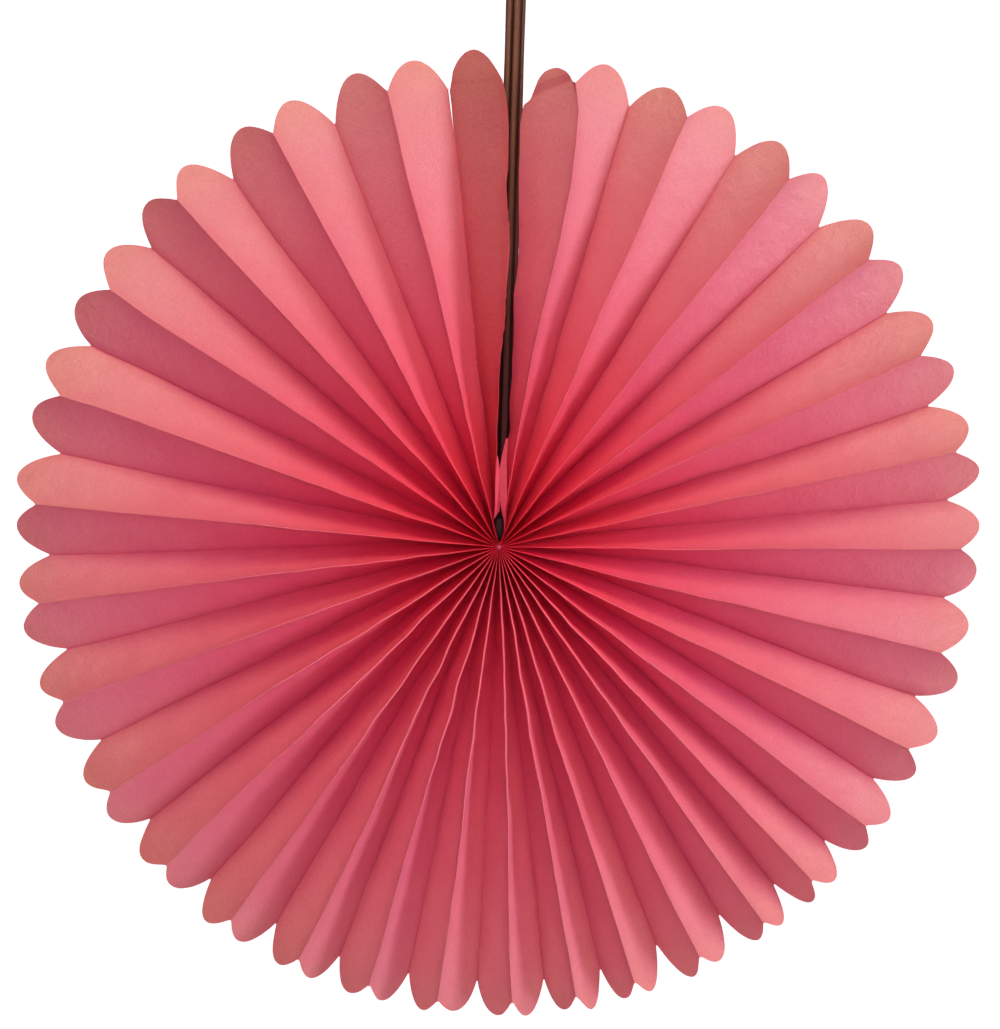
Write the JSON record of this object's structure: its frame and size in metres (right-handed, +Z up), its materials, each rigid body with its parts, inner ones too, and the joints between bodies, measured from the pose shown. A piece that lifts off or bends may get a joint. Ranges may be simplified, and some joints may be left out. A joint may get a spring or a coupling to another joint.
{
  "type": "hanging paper fan rosette",
  "caption": "Hanging tissue-paper fan rosette: round accordion of rounded leaves about a gathered hub, folding down flat, on a flat ribbon with a loop.",
  "frame": {"origin": "centre of the rosette, on the axis all the leaves turn about, halfway through its depth", "axes": "+Z up along the hanging ribbon, the front of the rosette faces -Y, +X to the right seen from the front"},
  "size_m": [0.4569, 0.0364, 0.5407],
  "materials": {
    "tissue": "thin translucent coral-pink tissue, soft and matt",
    "thread": "pink binding thread",
    "ribbon": "brown satin ribbon, soft lengthwise sheen",
    "card": "thin coloured card, matt",
    "tape": "plain paper tape"
  },
  "bodies": {
    "root": {"pleat_bottom": "tissue", "gathered_core": "tissue", "binding_thread": "thread", "hub_knot": "thread", "ribbon_tie": "ribbon", "hanging_ribbon": "ribbon", "ribbon_knot": "ribbon", "ribbon_loop": "ribbon"},
    "fold_r01": {"pleat_r01": "tissue"},
    "fold_r02": {"pleat_r02": "tissue"},
    "fold_r03": {"pleat_r03": "tissue"},
    "fold_r04": {"pleat_r04": "tissue"},
    "fold_r05": {"pleat_r05": "tissue"},
    "fold_r06": {"pleat_r06": "tissue"},
    "fold_r07": {"pleat_r07": "tissue"},
    "fold_r08": {"pleat_r08": "tissue"},
    "fold_r09": {"pleat_r09": "tissue"},
    "fold_r10": {"pleat_r10": "tissue"},
    "fold_r11": {"pleat_r11": "tissue"},
    "fold_r12": {"pleat_r12": "tissue"},
    "fold_r13": {"pleat_r13": "tissue"},
    "fold_r14": {"pleat_r14": "tissue"},
    "fold_r15": {"pleat_r15": "tissue", "end_strip_right": "card", "closing_tape": "tape"},
    "fold_l01": {"pleat_l01": "tissue"},
    "fold_l02": {"pleat_l02": "tissue"},
    "fold_l03": {"pleat_l03": "tissue"},
    "fold_l04": {"pleat_l04": "tissue"},
    "fold_l05": {"pleat_l05": "tissue"},
    "fold_l06": {"pleat_l06": "tissue"},
    "fold_l07": {"pleat_l07": "tissue"},
    "fold_l08": {"pleat_l08": "tissue"},
    "fold_l09": {"pleat_l09": "tissue"},
    "fold_l10": {"pleat_l10": "tissue"},
    "fold_l11": {"pleat_l11": "tissue"},
    "fold_l12": {"pleat_l12": "tissue"},
    "fold_l13": {"pleat_l13": "tissue"},
    "fold_l14": {"pleat_l14": "tissue"},
    "fold_l15": {"pleat_l15": "tissue", "end_strip_left": "card"}
  },
  "joints": [
    {"name": "hinge_r01", "type": "hinge", "parent": "root", "child": "fold_r01", "pos_m": [0, 0, 0], "axis": [0, 1, 0], "range_deg": [0, 7.65], "deforming": ["pleat_r01", "pleat_bottom"]},
    {"name": "hinge_r02", "type": "hinge", "parent": "fold_r01", "child": "fold_r02", "pos_m": [0, 0, 0], "axis": [0, 1, 0], "range_deg": [0, 7.16], "deforming": ["pleat_r02"]},
    {"name": "hinge_r03", "type": "hinge", "parent": "fold_r02", "child": "fold_r03", "pos_m": [0, 0, 0], "axis": [0, 1, 0], "range_deg": [0, 8.41], "deforming": ["pleat_r03"]},
    {"name": "hinge_r04", "type": "hinge", "parent": "fold_r03", "child": "fold_r04", "pos_m": [0, 0, 0], "axis": [0, 1, 0], "range_deg": [0, 8.66], "deforming": ["pleat_r04"]},
    {"name": "hinge_r05", "type": "hinge", "parent": "fold_r04", "child": "fold_r05", "pos_m": [0, 0, 0], "axis": [0, 1, 0], "range_deg": [0, 7.66], "deforming": ["pleat_r05"]},
    {"name": "hinge_r06", "type": "hinge", "parent": "fold_r05", "child": "fold_r06", "pos_m": [0, 0, 0], "axis": [0, 1, 0], "range_deg": [0, 9.14], "deforming": ["pleat_r06"]},
    {"name": "hinge_r07", "type": "hinge", "parent": "fold_r06", "child": "fold_r07", "pos_m": [0, 0, 0], "axis": [0, 1, 0], "range_deg": [0, 10.64], "deforming": ["pleat_r07"]},
    {"name": "hinge_r08", "type": "hinge", "parent": "fold_r07", "child": "fold_r08", "pos_m": [0, 0, 0], "axis": [0, 1, 0], "range_deg": [0, 12.38], "deforming": ["pleat_r08"]},
    {"name": "hinge_r09", "type": "hinge", "parent": "fold_r08", "child": "fold_r09", "pos_m": [0, 0, 0], "axis": [0, 1, 0], "range_deg": [0, 12.89], "deforming": ["pleat_r09"]},
    {"name": "hinge_r10", "type": "hinge", "parent": "fold_r09", "child": "fold_r10", "pos_m": [0, 0, 0], "axis": [0, 1, 0], "range_deg": [0, 11.62], "deforming": ["pleat_r10"]},
    {"name": "hinge_r11", "type": "hinge", "parent": "fold_r10", "child": "fold_r11", "pos_m": [0, 0, 0], "axis": [0, 1, 0], "range_deg": [0, 12.33], "deforming": ["pleat_r11"]},
    {"name": "hinge_r12", "type": "hinge", "parent": "fold_r11", "child": "fold_r12", "pos_m": [0, 0, 0], "axis": [0, 1, 0], "range_deg": [0, 13.05], "deforming": ["pleat_r12"]},
    {"name": "hinge_r13", "type": "hinge", "parent": "fold_r12", "child": "fold_r13", "pos_m": [0, 0, 0], "axis": [0, 1, 0], "range_deg": [0, 13.53], "deforming": ["pleat_r13"]},
    {"name": "hinge_r14", "type": "hinge", "parent": "fold_r13", "child": "fold_r14", "pos_m": [0, 0, 0], "axis": [0, 1, 0], "range_deg": [0, 14.25], "deforming": ["pleat_r14"]},
    {"name": "hinge_r15", "type": "hinge", "parent": "fold_r14", "child": "fold_r15", "pos_m": [0, 0, 0], "axis": [0, 1, 0], "range_deg": [0, 14.24], "deforming": ["pleat_r15"]},
    {"name": "hinge_l01", "type": "hinge", "parent": "root", "child": "fold_l01", "pos_m": [0, 0, 0], "axis": [0, -1, 0], "range_deg": [0, 8.9], "deforming": ["pleat_l01"]},
    {"name": "hinge_l02", "type": "hinge", "parent": "fold_l01", "child": "fold_l02", "pos_m": [0, 0, 0], "axis": [0, -1, 0], "range_deg": [0, 8.42], "deforming": ["pleat_l02"]},
    {"name": "hinge_l03", "type": "hinge", "parent": "fold_l02", "child": "fold_l03", "pos_m": [0, 0, 0], "axis": [0, -1, 0], "range_deg": [0, 8.93], "deforming": ["pleat_l03"]},
    {"name": "hinge_l04", "type": "hinge", "parent": "fold_l03", "child": "fold_l04", "pos_m": [0, 0, 0], "axis": [0, -1, 0], "range_deg": [0, 9.43], "deforming": ["pleat_l04"]},
    {"name": "hinge_l05", "type": "hinge", "parent": "fold_l04", "child": "fold_l05", "pos_m": [0, 0, 0], "axis": [0, -1, 0], "range_deg": [0, 10.18], "deforming": ["pleat_l05"]},
    {"name": "hinge_l06", "type": "hinge", "parent": "fold_l05", "child": "fold_l06", "pos_m": [0, 0, 0], "axis": [0, -1, 0], "range_deg": [0, 11.19], "deforming": ["pleat_l06"]},
    {"name": "hinge_l07", "type": "hinge", "parent": "fold_l06", "child": "fold_l07", "pos_m": [0, 0, 0], "axis": [0, -1, 0], "range_deg": [0, 12.2], "deforming": ["pleat_l07"]},
    {"name": "hinge_l08", "type": "hinge", "parent": "fold_l07", "child": "fold_l08", "pos_m": [0, 0, 0], "axis": [0, -1, 0], "range_deg": [0, 12.2], "deforming": ["pleat_l08"]},
    {"name": "hinge_l09", "type": "hinge", "parent": "fold_l08", "child": "fold_l09", "pos_m": [0, 0, 0], "axis": [0, -1, 0], "range_deg": [0, 11.91], "deforming": ["pleat_l09"]},
    {"name": "hinge_l10", "type": "hinge", "parent": "fold_l09", "child": "fold_l10", "pos_m": [0, 0, 0], "axis": [0, -1, 0], "range_deg": [0, 13.39], "deforming": ["pleat_l10"]},
    {"name": "hinge_l11", "type": "hinge", "parent": "fold_l10", "child": "fold_l11", "pos_m": [0, 0, 0], "axis": [0, -1, 0], "range_deg": [0, 14.12], "deforming": ["pleat_l11"]},
    {"name": "hinge_l12", "type": "hinge", "parent": "fold_l11", "child": "fold_l12", "pos_m": [0, 0, 0], "axis": [0, -1, 0], "range_deg": [0, 13.35], "deforming": ["pleat_l12"]},
    {"name": "hinge_l13", "type": "hinge", "parent": "fold_l12", "child": "fold_l13", "pos_m": [0, 0, 0], "axis": [0, -1, 0], "range_deg": [0, 13.79], "deforming": ["pleat_l13"]},
    {"name": "hinge_l14", "type": "hinge", "parent": "fold_l13", "child": "fold_l14", "pos_m": [0, 0, 0], "axis": [0, -1, 0], "range_deg": [0, 14.52], "deforming": ["pleat_l14"]},
    {"name": "hinge_l15", "type": "hinge", "parent": "fold_l14", "child": "fold_l15", "pos_m": [0, 0, 0], "axis": [0, -1, 0], "range_deg": [0, 14.1], "deforming": ["pleat_l15"]}
  ],
  "couplings": [
    {"joint": "hinge_r02", "follows": "hinge_r01", "ratio": 0.93333},
    {"joint": "hinge_r03", "follows": "hinge_r01", "ratio": 1.0967},
    {"joint": "hinge_r04", "follows": "hinge_r01", "ratio": 1.1294},
    {"joint": "hinge_r05", "follows": "hinge_r01", "ratio": 0.99869},
    {"joint": "hinge_r06", "follows": "hinge_r01", "ratio": 1.1922},
    {"joint": "hinge_r07", "follows": "hinge_r01", "ratio": 1.3882},
    {"joint": "hinge_r08", "follows": "hinge_r01", "ratio": 1.6157},
    {"joint": "hinge_r09", "follows": "hinge_r01", "ratio": 1.6824},
    {"joint": "hinge_r10", "follows": "hinge_r01", "ratio": 1.5163},
    {"joint": "hinge_r11", "follows": "hinge_r01", "ratio": 1.6092},
    {"joint": "hinge_r12", "follows": "hinge_r01", "ratio": 1.7033},
    {"joint": "hinge_r13", "follows": "hinge_r01", "ratio": 1.766},
    {"joint": "hinge_r14", "follows": "hinge_r01", "ratio": 1.8601},
    {"joint": "hinge_r15", "follows": "hinge_r01", "ratio": 1.8588},
    {"joint": "hinge_l02", "follows": "hinge_l01", "ratio": 0.94382},
    {"joint": "hinge_l03", "follows": "hinge_l01", "ratio": 1.0011},
    {"joint": "hinge_l04", "follows": "hinge_l01", "ratio": 1.0573},
    {"joint": "hinge_l05", "follows": "hinge_l01", "ratio": 1.1416},
    {"joint": "hinge_l06", "follows": "hinge_l01", "ratio": 1.2551},
    {"joint": "hinge_l07", "follows": "hinge_l01", "ratio": 1.3685},
    {"joint": "hinge_l08", "follows": "hinge_l01", "ratio": 1.3685},
    {"joint": "hinge_l09", "follows": "hinge_l01", "ratio": 1.336},
    {"joint": "hinge_l10", "follows": "hinge_l01", "ratio": 1.5022},
    {"joint": "hinge_l11", "follows": "hinge_l01", "ratio": 1.5843},
    {"joint": "hinge_l12", "follows": "hinge_l01", "ratio": 1.4978},
    {"joint": "hinge_l13", "follows": "hinge_l01", "ratio": 1.5472},
    {"joint": "hinge_l14", "follows": "hinge_l01", "ratio": 1.6292},
    {"joint": "hinge_l15", "follows": "hinge_l01", "ratio": 1.582}
  ]
}
